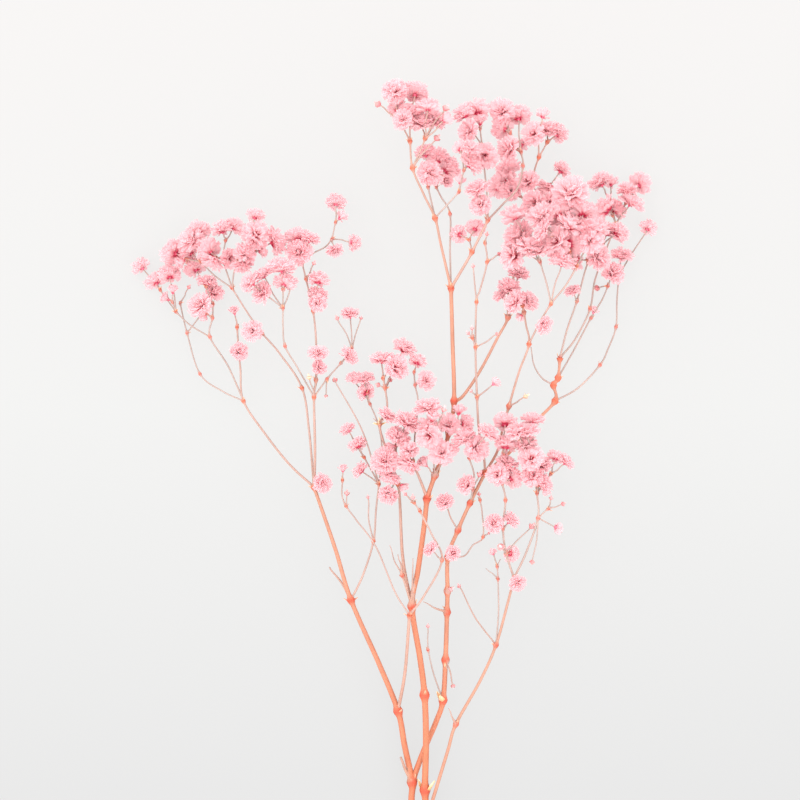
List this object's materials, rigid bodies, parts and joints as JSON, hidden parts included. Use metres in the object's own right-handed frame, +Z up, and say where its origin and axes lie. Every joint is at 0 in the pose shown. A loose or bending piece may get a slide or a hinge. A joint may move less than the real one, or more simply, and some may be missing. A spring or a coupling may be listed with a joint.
{
  "type": "gypsophila stem",
  "caption": "Cut stem of double baby's breath, forking into thin branches that end in airy sprays of small ruffled pink flowers, laid flat for arranging or dressing a surface.",
  "frame": {"origin": "middle of the object's box, on the flat surface that it lies on", "axes": "+Y from the cut end towards the flowers, +Z up, away from the surface, towards the side seen in the picture"},
  "size_m": [0.2402, 0.4002, 0.0533],
  "materials": {
    "stem": "smooth matte dyed stem, coral orange",
    "branch": "smooth matte dyed stalk, pale salmon",
    "sprig": "soft thin petals, pale pink, deeper coral at the base"
  },
  "bodies": {
    "root": {"main_stem": "stem", "left_stem": "stem", "centre_stem": "stem", "right_stem": "stem", "far_right_branch": "stem", "inner_left_branch": "stem", "inner_right_sprig": "sprig", "inner_left_long_sprig": "sprig", "left_right_sprig": "sprig", "mid_far_left_sprig": "sprig", "left_outer_branch": "branch", "left_outer_low_sprig": "sprig", "left_outer_mid_sprig": "sprig", "left_far_sprig": "sprig", "left_centre_branch": "branch", "left_top_right_sprig": "sprig", "left_top_middle_sprig": "sprig", "left_top_left_sprig": "sprig", "left_high_branch": "branch", "left_arc_sprig": "sprig", "left_side_sprig": "sprig", "left_near_sprig": "sprig", "centre_left_branch": "branch", "mid_left_low_sprig": "sprig", "mid_left_high_sprig": "sprig", "upper_left_sprig": "sprig", "mid_high_sprig": "sprig", "crown_stem": "stem", "mid_centre_sprig": "sprig", "crown_left_sprig": "sprig", "crown_left_inner_sprig": "sprig", "crown_middle_sprig": "sprig", "crown_arch_sprig": "sprig", "crown_right_branch": "branch", "crown_top_left_sprig": "sprig", "crown_high_sprig": "sprig", "crown_long_branch": "branch", "crown_long_left_sprig": "sprig", "crown_long_right_sprig": "sprig", "slim_branch": "branch", "third_branch": "branch", "third_right_branch": "branch", "crown_front_left_sprig": "sprig", "crown_front_middle_sprig": "sprig", "crown_front_right_sprig": "sprig", "right_branch": "branch", "right_inner_sprig": "sprig", "right_mid_sprig": "sprig", "right_low_sprig": "sprig", "right_outer_sprig": "sprig", "trident_right_sprig": "sprig", "elbow_sprig": "sprig", "lower_inner_sprig": "sprig", "lower_outer_sprig": "sprig", "low_twig_sprig": "sprig", "outer_inner_sprig": "sprig", "elbow_arc_sprig": "sprig"}
  },
  "joints": []
}
